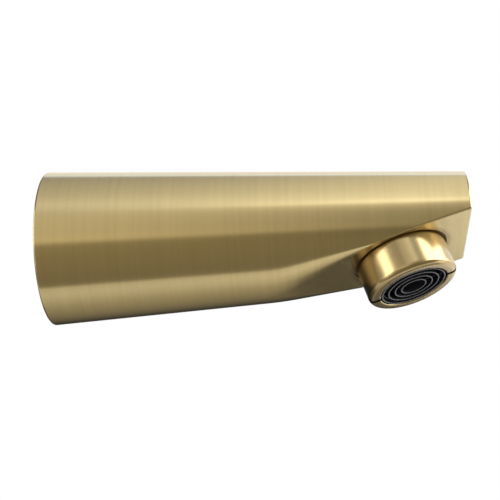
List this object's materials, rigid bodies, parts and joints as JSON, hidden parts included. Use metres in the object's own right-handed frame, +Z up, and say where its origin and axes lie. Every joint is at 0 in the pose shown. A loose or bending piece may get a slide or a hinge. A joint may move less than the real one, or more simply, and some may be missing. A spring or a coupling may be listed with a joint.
{
  "type": "bath spout",
  "caption": "Wall-mounted tapered round bath spout in brushed brass, with a slanted flat under its tip that carries a screw-in aerator.",
  "frame": {"origin": "centre of the round base, on the plane of the wall", "axes": "+X out from the wall along the axis of the taper, +Z up as the spout is fitted"},
  "size_m": [0.145, 0.054, 0.054],
  "materials": {
    "brushed_brass": "brushed around the axis, warm gold, lacquered",
    "polished_brass": "turned and polished",
    "seal_rubber": "matte black",
    "black_plastic": "moulded, satin black",
    "strainer_plastic": "moulded, pale grey",
    "screen_steel": "perforated, dull"
  },
  "bodies": {
    "root": {"spout_body": "brushed_brass", "aerator_ring": "polished_brass", "aerator_washer": "seal_rubber", "aerator_cup": "black_plastic", "aerator_strainer": "strainer_plastic", "aerator_jet_plate": "black_plastic", "aerator_screen": "screen_steel", "aerator_grille": "black_plastic"}
  },
  "joints": []
}
